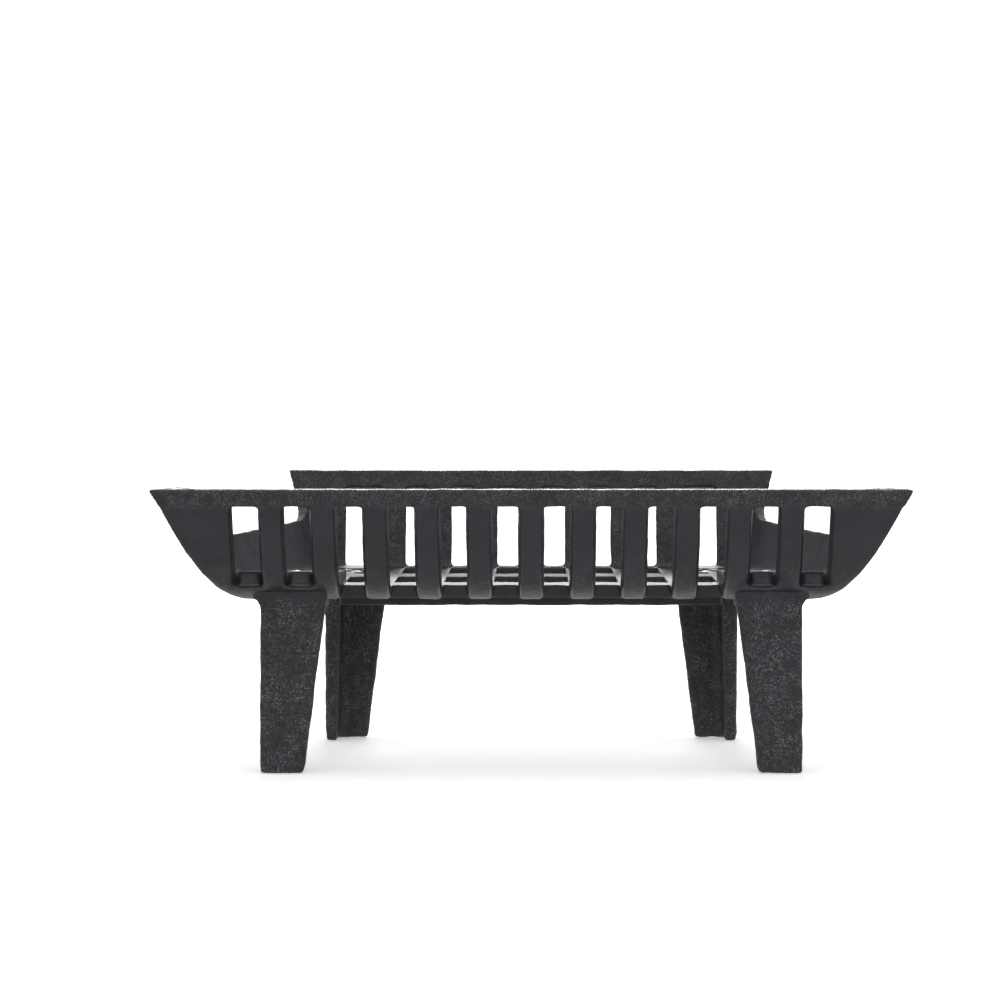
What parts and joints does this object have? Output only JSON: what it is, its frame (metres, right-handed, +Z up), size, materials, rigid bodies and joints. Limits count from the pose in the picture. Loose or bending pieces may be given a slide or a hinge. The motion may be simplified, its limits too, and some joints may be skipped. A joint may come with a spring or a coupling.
{
  "type": "log grate",
  "caption": "Cast-iron log grate: a tapered basket with flared front bars, dished sides, slotted floor and barred back, standing on tapered L-section legs bolted under its corners.",
  "frame": {"origin": "on the hearth, under the middle of the bounding box", "axes": "+X to the right seen from the front, +Y to the rear, +Z up; the bars of the front face look towards -Y"},
  "size_m": [0.51, 0.32, 0.201],
  "materials": {
    "basket_iron": "matt black cast iron, fine sand-cast skin",
    "leg_iron": "matt black cast iron, coarser sand-cast skin",
    "fastener_steel": "blackened steel"
  },
  "bodies": {
    "root": {"basket": "basket_iron", "front_left_leg": "leg_iron", "front_right_leg": "leg_iron", "rear_left_leg": "leg_iron", "rear_right_leg": "leg_iron", "front_left_leg_bolt": "fastener_steel", "front_right_leg_bolt": "fastener_steel", "rear_left_leg_bolt": "fastener_steel", "rear_right_leg_bolt": "fastener_steel", "front_left_leg_washer": "fastener_steel", "front_right_leg_washer": "fastener_steel", "rear_left_leg_washer": "fastener_steel", "rear_right_leg_washer": "fastener_steel", "front_left_leg_nut": "fastener_steel", "front_right_leg_nut": "fastener_steel", "rear_left_leg_nut": "fastener_steel", "rear_right_leg_nut": "fastener_steel"}
  },
  "joints": []
}
